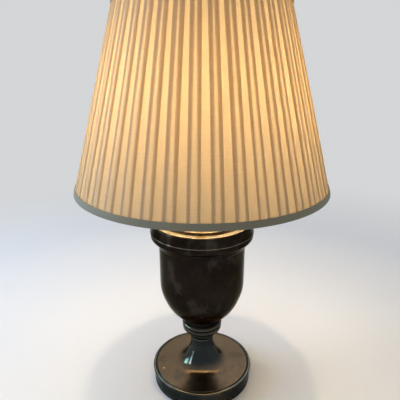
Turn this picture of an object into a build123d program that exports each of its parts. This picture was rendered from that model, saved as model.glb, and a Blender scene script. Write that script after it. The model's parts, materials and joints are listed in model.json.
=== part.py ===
from build123d import *
import math
import os

# Urn table lamp: a turned metal urn on a trumpet foot, with a box-pleated shade on a harp.
# Millimetres, +Z up, origin on the table under the lamp's axis. The front is -Y.

# Fits shared by the pieces
pipe_clearance = 0.25  # radial, round the lamp pipe
slip_gap = 0.15  # between pieces that drop into each other
running_clearance = 0.08  # radial, pin or screw that turns in its hole
seat_gap = 0.1  # under a piece that turns or lifts on its seat

# Roundings shared by the turned and pressed pieces
fine_rounding = 0.4
edge_rounding = 0.8
soft_rounding = 2.0

# Felt and foot
felt_margin = 1.2
felt_thickness = 1.5
felt_recess = 0.5
foot_radius = 90.0
foot_bottom_radius = 87.6
foot_side_height = 29.0
foot_wall = 3.2
foot_lip_height = 5.0
foot_step = 0.8
foot_bead_radius = 2.6
foot_bead_overlap = 1.0
foot_groove_radius = 0.9
foot_groove_lift = 0.2
foot_dome_rise = 3.4
stem_height = 54.0
stem_top_radius = 18.8
stem_foot_radius = 24.6
stem_flare = 30.0
stem_wall = 4.0
stem_plate = 6.0
stem_root_rounding = 3.0

# Weight and what clamps it
weight_radius = 79.0
weight_bottom_gap = 4.5
weight_recess_radius = 15.0
weight_recess_depth = 8.0
weight_rounding = 3.0
cord_channel_width = 10.0
cord_channel_depth = 12.0
washer_radius = 13.0
washer_thickness = 1.6
nut_across_flats = 14.0
nut_thickness = 4.0

# Cord inlet in the back of the foot
inlet_height = 13.0
inlet_bore_radius = 3.3
inlet_barrel_radius = 4.9
inlet_flange_radius = 6.4
inlet_flange_thickness = 1.8
inlet_flange_rounding = 0.8

# Lamp pipe
pipe_radius = 5.0
pipe_bore_radius = 3.2
pipe_chamfer = 0.6
pipe_below_nut = 2.0
pipe_above_saddle = 11.0

# Neck ring and collar
neck_ring_radius = 22.0
neck_ring_foot_radius = 20.6
neck_ring_foot_height = 2.0
neck_ring_height = 12.0
collar_radius = 35.2
collar_base_radius = 22.6
collar_height = 26.0
collar_bead_radius = 4.0
collar_bead_drop = 7.0
collar_bead_step = 0.6
collar_swell = 7.7
collar_swell_rounding = 6.0
collar_top_step = 4.0

# Urn bowl
bowl_radius = 72.5
bowl_flare = 0.4
bowl_seat_radius = 22.0
bowl_round_height = 81.0
bowl_height = 178.0
bowl_wall = 1.8
bowl_floor = 3.0

# Urn rim
rim_height = 42.0
rim_above_bowl = 10.0
rim_band = 13.3
rim_lip_inset = 3.9
rim_lip_fall = 0.8
rim_lip_rounding = 3.0
rim_mouth_rounding = 2.4
rim_mouth_inset = 2.9
rim_ledge_width = 4.0
rim_ledge_thickness = 3.0
rim_line_drop = 17.0
rim_line_radius = 0.9
rim_line_sink = 0.5
rim_under_drop = 30.5
rim_under_inset = 7.9
rim_under_rounding = 7.0
rim_skirt_rounding = 3.0
rim_skirt_edge = 0.6

# Vase cap
cap_riser_inset = 4.0
cap_riser_height = 8.0
cap_riser_rounding = 1.5
cap_thickness = 1.4
cap_rise = 5.0
cap_boss_radius = 13.0
cap_boss_edge = 0.4

# Neck above the cap
check_ring_radius = 14.0
check_ring_height = 3.5
neck_tube_length = 70.0
neck_tube_radius = 11.0
neck_tube_waist = 8.6
neck_tube_end = 4.0
neck_tube_step = 1.5
neck_tube_slope = 1.0
upper_ring_radius = 12.0
upper_ring_height = 2.5

# Harp saddle, legs and ferrules
saddle_thickness = 1.6
saddle_width = 11.0
saddle_hub_radius = 9.5
saddle_rounding = 1.0
tongue_height = 14.0
tongue_thickness = 1.5
tongue_width = 4.0
harp_leg_spacing = 48.0
harp_wire_radius = 2.2
harp_flat_offset = 0.6
harp_height = 228.0
harp_bow = 104.0
harp_leg_straight = 42.0
harp_bow_start = 86.0
harp_bow_end = 168.0
harp_crown_width = 36.0
harp_leg_bend = 20.0
harp_low_bend = 30.0
harp_high_bend = 45.0
harp_crown_bend = 14.0
harp_flat_extra = 1.0
ferrule_radius = 4.3
ferrule_bore_radius = 3.2
ferrule_height = 16.0
ferrule_rounding = 0.5

# Harp stud
stud_radius = 3.1
stud_height = 15.0
stud_seat_radius = 7.5
stud_seat_thickness = 2.0
stud_shank_radius = 2.4
harp_pad_radius = 5.5
harp_pad_thickness = 2.4
rivet_head_thickness = 1.2
rivet_head_overhang = 1.6

# Saddle nut and socket
saddle_nut_flats = 15.0
saddle_nut_thickness = 3.0
socket_cap_neck_radius = 8.0
socket_cap_neck_height = 5.0
socket_cap_radius = 18.4
socket_cap_height = 25.0
socket_cap_skirt = 7.0
socket_cap_rounding = 6.0
socket_shell_rise = 2.0
socket_sheet = 0.8
socket_shell_height = 40.0
liner_sleeve_thickness = 0.7
block_radius = 15.4
block_height = 24.0
block_foot_radius = 10.0
block_foot_height = 8.0
block_rise = 12.0
screw_shell_wall = 0.5
screw_shell_depth = 21.0
screw_shell_lip = 2.5
contact_width = 5.0
contact_rise = 2.4
contact_foot = 6.0
contact_reach = 3.0
contact_fold = 2.0
contact_leaf = 0.5
terminal_radius = 2.2
terminal_length = 1.8
terminal_offset = 2.2
key_axis_rise = 4.6
key_shaft_radius = 1.8
key_shaft_inset = 9.0
key_hole_gap = 1.2
key_knob_gap = 3.0
key_stub_radius = 3.2
key_stub_length = 3.0
key_knob_inset = 2.0
key_knob_rounding = 1.0
key_knob_length = 15.0
key_knob_width = 13.0
key_knob_thickness = 4.2

# Bulb
bulb_cap_radius = 13.0
bulb_cap_height = 20.0
bulb_cap_lead = 1.5
bulb_cap_lead_inset = 1.0
bulb_insulator_inset = 1.6
bulb_insulator_step = 0.8
bulb_insulator_height = 3.0
bulb_contact_radius = 4.5
bulb_contact_height = 1.2
bulb_contact_rounding = 0.7
bulb_radius = 30.0
bulb_height = 110.0
bulb_glass_wall = 0.9
bulb_neck_radius = 12.4
bulb_neck_overlap = 3.0

# Shade frame
shade_height = 277.0
shade_hem_radius = 200.0
shade_top_radius = 125.7
spider_drop = 26.5
spider_hub_radius = 12.5
spider_hub_thickness = 2.0
spider_arm_radius = 1.8
spider_arm_count = 3
spider_flat_run = 22.0
spider_bend = 10.0
spider_arm_root = 8.8
frame_wire_radius = 1.6
frame_wire_gap = 0.2
liner_thickness = 0.8
liner_cover_gap = 0.4

# Box pleats of the cover
pleat_count = 42
cloth_thickness = 0.35
cloth_ply_gap = 0.12
pleat_gap_hem = 12.9
pleat_gap_top = 5.2
pleat_split_hem = 8.2
pleat_split_top = 1.2
cover_seam = 0.4

# Trim binding of the shade's two edges
trim_width = 9.4
trim_thickness = 0.8
trim_return = 1.6
trim_gap = 0.15

# Finial
finial_base_radius = 7.5
finial_base_height = 3.0
finial_neck_radius = 4.8
finial_cove = 2.0
finial_ball_radius = 8.5
finial_tip_radius = 1.5
finial_height = 32.0
finial_bore_depth = 17.0

# Heights that follow, from the table up
foot_bottom_z = felt_thickness - felt_recess
foot_edge_z = foot_bottom_z + foot_side_height
stem_top_z = foot_edge_z + stem_height
collar_z = stem_top_z + neck_ring_height
bowl_z = collar_z + collar_height
bowl_top_z = bowl_z + bowl_height
rim_top_z = bowl_top_z + rim_above_bowl
cap_z = bowl_top_z + rim_ledge_thickness
cap_top_z = cap_z + cap_riser_height + cap_rise
tube_z = cap_top_z + check_ring_height
upper_ring_z = tube_z + neck_tube_length
saddle_z = upper_ring_z + upper_ring_height
saddle_top_z = saddle_z + saddle_thickness
socket_z = saddle_top_z + saddle_nut_thickness
harp_top_z = saddle_z + harp_height
shade_top_z = harp_top_z + spider_drop
shade_hem_z = shade_top_z - shade_height

# Radii that several pieces share
pipe_hole = pipe_radius + pipe_clearance
side_low_x = foot_bottom_radius - foot_step
bead_x = foot_radius - foot_bead_radius
side_high_x = foot_radius - foot_bead_overlap
cavity_radius = side_low_x - foot_wall
bowl_mouth_radius = bowl_radius + bowl_flare
sleeve_radius = bowl_mouth_radius + slip_gap
rim_radius = sleeve_radius + rim_band
rim_mouth_radius = bowl_mouth_radius - rim_mouth_inset
rim_ledge_radius = rim_mouth_radius - rim_ledge_width

os.makedirs("parts", exist_ok=True)


def finish(piece, name):
    """labels a finished piece and writes it"""
    piece.part.label = name
    export_step(piece.part, f"parts/{name}.step")


def outline(*corners):
    """closed outline through (radius, height, rounding) corners"""
    FilletPolyline(
        *[(x, z) for x, z, rounding in corners],
        radius=[rounding for x, z, rounding in corners],
        close=True,
    )


# Base felt
with BuildPart() as base_felt:
    with BuildSketch(Plane.XY):
        Circle(cavity_radius - felt_margin)
    extrude(amount=felt_thickness)
finish(base_felt, "base_felt")

# Foot: hollow disc with a beaded edge, flaring up into the stem
lip_z = foot_bottom_z + foot_lip_height
bead_z = foot_edge_z - foot_bead_radius
groove_x = bead_x - foot_bead_radius - foot_groove_radius
ceiling_z = foot_edge_z - foot_wall
with BuildPart() as foot:
    with BuildSketch(Plane.XZ):
        with BuildLine():
            outline(
                (cavity_radius, foot_bottom_z, 0),
                (foot_bottom_radius, foot_bottom_z, edge_rounding),
                (foot_bottom_radius, lip_z, fine_rounding),
                (side_low_x, lip_z, fine_rounding),
                (side_high_x, bead_z, 0),
                (bead_x, foot_edge_z - foot_groove_radius, 0),
                (groove_x, foot_edge_z, 0),
                (stem_foot_radius, foot_edge_z + foot_dome_rise, stem_flare),
                (stem_top_radius, stem_top_z, fine_rounding),
                (pipe_hole, stem_top_z, 0),
                (pipe_hole, stem_top_z - stem_plate, 0),
                (stem_top_radius - stem_wall, stem_top_z - stem_plate, soft_rounding),
                (stem_top_radius - stem_wall, ceiling_z, stem_root_rounding),
                (cavity_radius, ceiling_z, soft_rounding),
            )
        make_face()
        with Locations((bead_x, bead_z)):
            Circle(foot_bead_radius)
        with Locations((groove_x, foot_edge_z + foot_groove_lift)):
            Circle(foot_groove_radius, mode=Mode.SUBTRACT)
    revolve(axis=Axis.Z)
    with BuildSketch(Plane.XZ.offset(-foot_radius)):
        with Locations((0, inlet_height)):
            Circle(inlet_barrel_radius + slip_gap)
    extrude(amount=foot_radius - weight_radius, mode=Mode.SUBTRACT)
finish(foot, "foot")

# Cast weight under the foot, with a recess for the nut and a channel for the cord
weight_z = felt_thickness + weight_bottom_gap
recess_z = weight_z + weight_recess_depth
with BuildPart() as foot_weight:
    with BuildSketch(Plane.XZ):
        with BuildLine():
            outline(
                (pipe_hole, recess_z, 0),
                (weight_recess_radius, recess_z, 0),
                (weight_recess_radius, weight_z, 0),
                (weight_radius, weight_z, soft_rounding),
                (weight_radius, ceiling_z, weight_rounding),
                (pipe_hole, ceiling_z, 0),
            )
        make_face()
    revolve(axis=Axis.Z)
    with BuildSketch(Plane.XY.offset(weight_z)):
        with Locations((0, weight_radius / 2)):
            Rectangle(cord_channel_width, weight_radius)
    extrude(amount=cord_channel_depth, mode=Mode.SUBTRACT)
finish(foot_weight, "foot_weight")

# Washer and hexagon nut that clamp the weight and the foot on the pipe
with BuildPart() as base_washer:
    with BuildSketch(Plane.XY.offset(recess_z - washer_thickness)):
        Circle(washer_radius)
        Circle(pipe_hole, mode=Mode.SUBTRACT)
    extrude(amount=washer_thickness)
finish(base_washer, "base_washer")

nut_z = recess_z - washer_thickness - nut_thickness
with BuildPart() as base_nut:
    with BuildSketch(Plane.XY.offset(nut_z)):
        RegularPolygon(nut_across_flats / 2, 6, major_radius=False)
        Circle(pipe_hole, mode=Mode.SUBTRACT)
    extrude(amount=nut_thickness)
finish(base_nut, "base_nut")

# Cord inlet: a flanged bushing through the back of the foot's wall
with BuildPart() as cord_bushing:
    with BuildSketch(Plane.XZ.offset(-cavity_radius)):
        with Locations((0, inlet_height)):
            Circle(inlet_flange_radius)
    extrude(amount=cavity_radius - side_high_x - inlet_flange_thickness)
    fillet(cord_bushing.faces().sort_by(Axis.Y)[-1].edges(), inlet_flange_rounding)
    with BuildSketch(Plane.XZ):
        with BuildLine():
            outline(
                (0, foot_bottom_z, 0),
                (side_low_x + slip_gap, foot_bottom_z, 0),
                (side_low_x + slip_gap, lip_z, 0),
                (side_high_x + slip_gap, bead_z, 0),
                (0, bead_z, 0),
            )
        make_face()
    revolve(axis=Axis.Z, mode=Mode.SUBTRACT)
    with BuildSketch(Plane.XZ.offset(-cavity_radius + foot_wall / 2)):
        with Locations((0, inlet_height)):
            Circle(inlet_barrel_radius)
    extrude(amount=cavity_radius - foot_wall / 2 - side_high_x)
    with BuildSketch(Plane.XZ.offset(-foot_radius - inlet_flange_thickness)):
        with Locations((0, inlet_height)):
            Circle(inlet_bore_radius)
    extrude(amount=foot_radius, mode=Mode.SUBTRACT)
finish(cord_bushing, "cord_bushing")

# Lamp pipe: one hollow threaded rod from the base nut into the socket cap
pipe_z = nut_z - pipe_below_nut
pipe_top_z = saddle_top_z + pipe_above_saddle
with BuildPart() as lamp_pipe:
    with BuildSketch(Plane.XY.offset(pipe_z)):
        Circle(pipe_radius)
        Circle(pipe_bore_radius, mode=Mode.SUBTRACT)
    extrude(amount=pipe_top_z - pipe_z)
    chamfer(lamp_pipe.edges().filter_by(GeomType.CIRCLE).sort_by(SortBy.RADIUS)[-2:], pipe_chamfer)
finish(lamp_pipe, "lamp_pipe")

# Neck ring on the stem
with BuildPart() as neck_ring:
    with BuildSketch(Plane.XZ):
        with BuildLine():
            lower = Polyline(
                (pipe_hole, stem_top_z),
                (neck_ring_foot_radius, stem_top_z),
                (neck_ring_foot_radius, stem_top_z + neck_ring_foot_height),
            )
            ThreePointArc(
                lower @ 1,
                (neck_ring_radius, (stem_top_z + neck_ring_foot_height + collar_z) / 2),
                (neck_ring_foot_radius, collar_z),
            )
            Polyline(
                (neck_ring_foot_radius, collar_z),
                (pipe_hole, collar_z),
                (pipe_hole, stem_top_z),
            )
        make_face()
    revolve(axis=Axis.Z)
finish(neck_ring, "neck_ring")

# Collar: a bead over a swelling quarter round
bead_centre_z = bowl_z - collar_bead_drop
shoulder_z = bead_centre_z - collar_bead_radius
swell_x = collar_radius - collar_bead_step
with BuildPart() as urn_collar:
    with BuildSketch(Plane.XZ):
        with BuildLine():
            outline(
                (pipe_hole, collar_z, 0),
                (collar_base_radius, collar_z, edge_rounding),
                (swell_x, shoulder_z - collar_swell, collar_swell_rounding),
                (swell_x, shoulder_z, edge_rounding),
                (collar_radius - collar_bead_radius, shoulder_z, 0),
                (collar_radius - collar_bead_radius, bead_centre_z + collar_bead_radius, 0),
                (bowl_seat_radius + collar_top_step, bead_centre_z + collar_bead_radius, edge_rounding),
                (bowl_seat_radius, bowl_z, 0),
                (pipe_hole, bowl_z, 0),
            )
        make_face()
        with Locations((collar_radius - collar_bead_radius, bead_centre_z)):
            Circle(collar_bead_radius)
    revolve(axis=Axis.Z)
finish(urn_collar, "urn_collar")

# Urn bowl: a spun shell with a half-egg bottom and nearly upright sides
round_z = bowl_z + bowl_round_height
floor_z = bowl_z + bowl_floor


def egg_curve(radius, low_z):
    """half-egg outline from the height low_z up to the radius at the bowl's round"""
    depth = bowl_round_height / math.sqrt(1 - (bowl_seat_radius / bowl_radius) ** 2)
    height = depth - (bowl_radius - radius)
    start = math.asin((round_z - low_z) / height)
    turns = [start * step / 4 for step in (4, 3, 2, 1, 0)]
    return Spline(
        *[(radius * math.cos(turn), round_z - height * math.sin(turn)) for turn in turns],
        tangents=((radius * math.sin(start), height * math.cos(start)), (0, 1)),
    )


with BuildPart() as urn_bowl:
    with BuildSketch(Plane.XZ):
        with BuildLine():
            outer = egg_curve(bowl_radius, bowl_z)
            Polyline(outer @ 1, (bowl_mouth_radius, bowl_top_z), (0, bowl_top_z))
            Polyline((0, bowl_top_z), (0, bowl_z), outer @ 0)
        make_face()
    revolve(axis=Axis.Z)
    with BuildSketch(Plane.XZ):
        with BuildLine():
            inner = egg_curve(bowl_radius - bowl_wall, floor_z)
            Polyline(inner @ 1, (bowl_mouth_radius - bowl_wall, bowl_top_z), (0, bowl_top_z))
            Polyline((0, bowl_top_z), (0, floor_z), inner @ 0)
        make_face()
    revolve(axis=Axis.Z, mode=Mode.SUBTRACT)
    with BuildSketch(Plane.XY.offset(bowl_z)):
        Circle(pipe_hole)
    extrude(amount=bowl_floor, mode=Mode.SUBTRACT)
finish(urn_bowl, "urn_bowl")

# Urn rim: a rolled band over the bowl's mouth, with a ledge inside for the cap
line_z = rim_top_z - rim_line_drop
under_z = rim_top_z - rim_under_drop
rim_bottom_z = rim_top_z - rim_height
with BuildPart() as urn_rim:
    with BuildSketch(Plane.XZ):
        with BuildLine():
            outline(
                (rim_mouth_radius, rim_top_z - rim_lip_fall, rim_mouth_rounding),
                (rim_radius - rim_lip_inset, rim_top_z, rim_lip_rounding),
                (rim_radius, line_z, 0),
                (rim_radius, under_z, rim_under_rounding),
                (rim_radius - rim_under_inset, under_z, rim_skirt_rounding),
                (sleeve_radius + rim_skirt_edge, rim_bottom_z, fine_rounding),
                (sleeve_radius, rim_bottom_z, 0),
                (sleeve_radius, bowl_top_z, 0),
                (rim_ledge_radius, bowl_top_z, 0),
                (rim_ledge_radius, cap_z, 0),
                (rim_mouth_radius, cap_z, 0),
            )
        make_face()
        with Locations((rim_radius - rim_line_sink, line_z)):
            Circle(rim_line_radius)
    revolve(axis=Axis.Z)
finish(urn_rim, "urn_rim")

# Vase cap: a dished cover that stands on the rim's ledge
cap_edge_z = cap_z + cap_riser_height
flange_radius = rim_mouth_radius - slip_gap * 2
riser_x = rim_ledge_radius - cap_riser_inset
boss_low_z = cap_top_z - edge_rounding
with BuildPart() as vase_cap:
    with BuildSketch(Plane.XZ):
        with BuildLine():
            outline(
                (flange_radius, cap_z, 0),
                (flange_radius, cap_z + cap_thickness, fine_rounding),
                (riser_x, cap_z + cap_thickness, fine_rounding),
                (riser_x, cap_edge_z, cap_riser_rounding),
                (cap_boss_radius, boss_low_z, edge_rounding),
                (cap_boss_radius - cap_boss_edge, cap_top_z, 0),
                (pipe_hole, cap_top_z, 0),
                (pipe_hole, boss_low_z - cap_thickness, 0),
                (cap_boss_radius, boss_low_z - cap_thickness, 0),
                (riser_x - cap_thickness, cap_edge_z - cap_thickness, edge_rounding),
                (riser_x - cap_thickness, cap_z, 0),
            )
        make_face()
    revolve(axis=Axis.Z)
finish(vase_cap, "vase_cap")


def turned_ring(z, radius, height, rounding):
    """a plain ring round the pipe with rounded outer edges"""
    with BuildSketch(Plane.XZ) as section:
        with BuildLine():
            outline(
                (pipe_hole, z, 0),
                (radius, z, rounding),
                (radius, z + height, rounding),
                (pipe_hole, z + height, 0),
            )
        make_face()
    return section.sketch


with BuildPart() as lower_check_ring:
    revolve(
        turned_ring(cap_top_z, check_ring_radius, check_ring_height, check_ring_height * 0.4),
        axis=Axis.Z,
    )
finish(lower_check_ring, "lower_check_ring")

# Neck tube: beaded at both ends and drawn in between
tube_step_x = neck_tube_radius - neck_tube_step
with BuildPart() as neck_tube:
    with BuildSketch(Plane.XZ):
        with BuildLine():
            side = ThreePointArc(
                (tube_step_x, tube_z + neck_tube_end + neck_tube_slope),
                (neck_tube_waist, tube_z + neck_tube_length / 2),
                (tube_step_x, upper_ring_z - neck_tube_end - neck_tube_slope),
            )
            Polyline(
                side @ 1,
                (neck_tube_radius, upper_ring_z - neck_tube_end),
                (neck_tube_radius, upper_ring_z),
                (pipe_hole, upper_ring_z),
                (pipe_hole, tube_z),
                (neck_tube_radius, tube_z),
                (neck_tube_radius, tube_z + neck_tube_end),
                side @ 0,
            )
        make_face()
    revolve(axis=Axis.Z)
finish(neck_tube, "neck_tube")

with BuildPart() as upper_check_ring:
    revolve(
        turned_ring(upper_ring_z, upper_ring_radius, upper_ring_height, upper_ring_height * 0.3),
        axis=Axis.Z,
    )
finish(upper_check_ring, "upper_check_ring")

# Harp saddle: a strip across the pipe with an upright tongue at each end
leg_x = harp_leg_spacing / 2
tongue_in = leg_x + harp_flat_offset + seat_gap
tongue_out = tongue_in + tongue_thickness
tongue_top_z = saddle_top_z + tongue_height
with BuildPart() as harp_saddle:
    with BuildSketch(Plane.XY.offset(saddle_z)):
        Rectangle(tongue_out * 2, saddle_width)
        Circle(saddle_hub_radius)
        Circle(pipe_hole, mode=Mode.SUBTRACT)
    extrude(amount=saddle_thickness)
    with BuildSketch(Plane.XY.offset(saddle_top_z)):
        with Locations(*[(side * (tongue_in + tongue_thickness / 2), 0) for side in (-1, 1)]):
            Rectangle(tongue_thickness, tongue_width)
    extrude(amount=tongue_height)
    fillet(harp_saddle.edges().filter_by(Axis.Y).sort_by(Axis.Z)[:2], saddle_rounding)
finish(harp_saddle, "harp_saddle")

with BuildPart() as saddle_nut:
    with BuildSketch(Plane.XY.offset(saddle_top_z)):
        RegularPolygon(saddle_nut_flats / 2, 6, major_radius=False)
        Circle(pipe_hole, mode=Mode.SUBTRACT)
    extrude(amount=saddle_nut_thickness)
finish(saddle_nut, "saddle_nut")

# Socket cap: the lower half of the holder's housing
cap_rim_z = socket_z + socket_cap_height
dome_z = cap_rim_z - socket_cap_skirt
neck_top_z = socket_z + socket_cap_neck_height
neck_floor_z = neck_top_z + 1.5 * socket_sheet
with BuildPart() as socket_cap:
    with BuildSketch(Plane.XZ):
        with BuildLine():
            outline(
                (pipe_hole, socket_z, 0),
                (socket_cap_neck_radius, socket_z, edge_rounding),
                (socket_cap_neck_radius, neck_top_z, soft_rounding),
                (socket_cap_radius, dome_z, socket_cap_rounding),
                (socket_cap_radius, cap_rim_z, 0),
                (socket_cap_radius - socket_sheet, cap_rim_z, 0),
                (socket_cap_radius - socket_sheet, dome_z, socket_cap_rounding - socket_sheet),
                (socket_cap_neck_radius - socket_sheet, neck_floor_z, 0),
                (pipe_hole, neck_floor_z, 0),
            )
        make_face()
    revolve(axis=Axis.Z)
finish(socket_cap, "socket_cap")

# Socket shell: the upper half, slipped into the cap, with a hole for the key
shell_radius = socket_cap_radius - socket_sheet - slip_gap
shell_z = dome_z + socket_shell_rise
shell_top_z = shell_z + socket_shell_height
key_z = cap_rim_z + key_axis_rise
with BuildPart() as socket_shell:
    with BuildSketch(Plane.XY.offset(shell_z)):
        Circle(shell_radius)
        Circle(shell_radius - socket_sheet, mode=Mode.SUBTRACT)
    extrude(amount=socket_shell_height)
    with BuildSketch(Plane.XZ):
        with Locations((0, key_z)):
            Circle(key_shaft_radius + key_hole_gap)
    extrude(amount=shell_radius * 1.5, mode=Mode.SUBTRACT)
    with BuildSketch(Plane.XZ):
        with Locations((shell_radius - socket_sheet / 2, shell_top_z)):
            Circle(socket_sheet)
    revolve(axis=Axis.Z)
finish(socket_shell, "socket_shell")

# Card sleeve inside the shell
sleeve_outer = shell_radius - socket_sheet - slip_gap
with BuildPart() as socket_liner:
    with BuildSketch(Plane.XY.offset(shell_z)):
        Circle(sleeve_outer)
        Circle(sleeve_outer - liner_sleeve_thickness, mode=Mode.SUBTRACT)
    extrude(amount=socket_shell_height - 2 * socket_sheet)
    with BuildSketch(Plane.XZ):
        with Locations((0, key_z)):
            Circle(key_shaft_radius + key_hole_gap)
    extrude(amount=shell_radius * 1.5, mode=Mode.SUBTRACT)
finish(socket_liner, "socket_liner")

# Switch block: the moulded body that holds the contacts and the key's shaft
block_z = socket_z + block_rise
block_top_z = block_z + block_height
with BuildPart() as switch_block:
    with BuildSketch(Plane.XZ):
        with BuildLine():
            outline(
                (0, block_z, 0),
                (block_foot_radius, block_z, edge_rounding),
                (block_foot_radius, block_z + block_foot_height, 0),
                (block_radius, block_z + block_foot_height, fine_rounding),
                (block_radius, block_top_z, fine_rounding),
                (0, block_top_z, 0),
            )
        make_face()
    revolve(axis=Axis.Z)
    with BuildSketch(Plane.XZ.offset(block_radius - key_shaft_inset)):
        with Locations((0, key_z)):
            Circle(key_shaft_radius + running_clearance)
    extrude(amount=key_shaft_inset * 2, mode=Mode.SUBTRACT)
finish(switch_block, "switch_block")

# Screw shell, with a flange that lies on the block
screw_inner = bulb_cap_radius + running_clearance
screw_outer = screw_inner + screw_shell_wall
with BuildPart() as screw_shell:
    with BuildSketch(Plane.XZ):
        with BuildLine():
            outline(
                (screw_inner - screw_shell_lip, block_top_z, 0),
                (screw_outer, block_top_z, screw_shell_wall / 2),
                (screw_outer, block_top_z + screw_shell_depth, 0),
                (screw_inner, block_top_z + screw_shell_depth, 0),
                (screw_inner, block_top_z + screw_shell_wall, 0),
                (screw_inner - screw_shell_lip, block_top_z + screw_shell_wall, 0),
            )
        make_face()
    revolve(axis=Axis.Z)
finish(screw_shell, "screw_shell")

# Centre contact: a bent brass leaf
leaf_top_z = block_top_z + contact_rise
fold_run = 2.4 * contact_leaf
with BuildPart() as center_contact:
    with BuildSketch(Plane.XZ):
        with BuildLine():
            Polyline(
                (-contact_foot, block_top_z),
                (contact_reach, block_top_z),
                (-contact_fold, leaf_top_z - contact_leaf),
                (contact_reach, leaf_top_z - contact_leaf),
                (contact_reach, leaf_top_z),
                (-contact_fold - fold_run, leaf_top_z),
                (contact_fold - fold_run, block_top_z + contact_leaf),
                (-contact_foot, block_top_z + contact_leaf),
                close=True,
            )
        make_face()
    extrude(amount=contact_width / 2, both=True)
finish(center_contact, "center_contact")

# Two terminal screws in the block's foot
with BuildPart() as terminal_screws:
    for side in (-1, 1):
        with BuildSketch(Plane.YZ.offset(side * block_foot_radius)):
            with Locations((terminal_offset * side, block_z + block_foot_height / 2)):
                Circle(terminal_radius)
        extrude(amount=side * terminal_length)
finish(terminal_screws, "terminal_screws")

# Switch key: a shaft out through the shell, with a flat oval knob
shaft_in = block_radius - key_shaft_inset + running_clearance
knob_in = shell_radius + key_knob_gap
with BuildPart() as switch_key:
    with BuildSketch(Plane.XY.offset(key_z - key_knob_thickness / 2)):
        with Locations((0, -knob_in - key_knob_inset - key_knob_length / 2)):
            Ellipse(key_knob_width / 2, key_knob_length / 2)
    extrude(amount=key_knob_thickness)
    fillet(switch_key.edges().filter_by(GeomType.ELLIPSE), key_knob_rounding)
    with BuildSketch(Plane.XZ.offset(shaft_in)):
        with Locations((0, key_z)):
            Circle(key_shaft_radius)
    extrude(amount=knob_in + key_stub_length / 2 - shaft_in)
    with BuildSketch(Plane.XZ.offset(knob_in)):
        with Locations((0, key_z)):
            Circle(key_stub_radius)
    extrude(amount=key_stub_length)
finish(switch_key, "switch_key")

# Bulb
contact_z = block_top_z + contact_rise + seat_gap
insulator_z = contact_z + bulb_contact_height
bulb_cap_z = insulator_z + bulb_insulator_height
glass_z = bulb_cap_z + bulb_cap_height - bulb_neck_overlap
globe_z = contact_z + bulb_height - bulb_radius
with BuildPart() as bulb_contact:
    with BuildSketch(Plane.XY.offset(contact_z)):
        Circle(bulb_contact_radius)
    extrude(amount=bulb_contact_height)
    fillet(bulb_contact.faces().sort_by(Axis.Z)[0].edges(), bulb_contact_rounding)
finish(bulb_contact, "bulb_contact")

with BuildPart() as bulb_insulator:
    with BuildSketch(Plane.XY.offset(insulator_z)):
        Circle(bulb_contact_radius + bulb_insulator_step)
    with BuildSketch(Plane.XY.offset(bulb_cap_z)):
        Circle(bulb_cap_radius - bulb_insulator_inset)
    loft()
finish(bulb_insulator, "bulb_insulator")

with BuildPart() as bulb_cap:
    with BuildSketch(Plane.XZ):
        with BuildLine():
            outline(
                (0, bulb_cap_z, 0),
                (bulb_cap_radius - bulb_cap_lead_inset, bulb_cap_z, 0),
                (bulb_cap_radius, bulb_cap_z + bulb_cap_lead, edge_rounding),
                (bulb_cap_radius, bulb_cap_z + bulb_cap_height, 0),
                (bulb_neck_radius + slip_gap, bulb_cap_z + bulb_cap_height, 0),
                (bulb_neck_radius + slip_gap, glass_z, 0),
                (0, glass_z, 0),
            )
        make_face()
    revolve(axis=Axis.Z)
finish(bulb_cap, "bulb_cap")


def glass_section(inset):
    """half section of the bulb's glass, drawn in by the inset"""
    radius = bulb_radius - inset
    with BuildSketch(Plane.XZ) as section:
        with BuildLine():
            globe = CenterArc((0, globe_z), radius, 90, -125)
            base = (bulb_neck_radius - inset, glass_z + inset)
            neck = Spline(globe @ 1, base, tangents=(globe % 1, (0, -1)))
            Polyline(neck @ 1, (0, glass_z + inset), globe @ 0)
        make_face()
    return section.sketch


with BuildPart() as bulb_glass:
    revolve(glass_section(0), axis=Axis.Z)
    revolve(glass_section(bulb_glass_wall), axis=Axis.Z, mode=Mode.SUBTRACT)
finish(bulb_glass, "bulb_glass")

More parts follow.
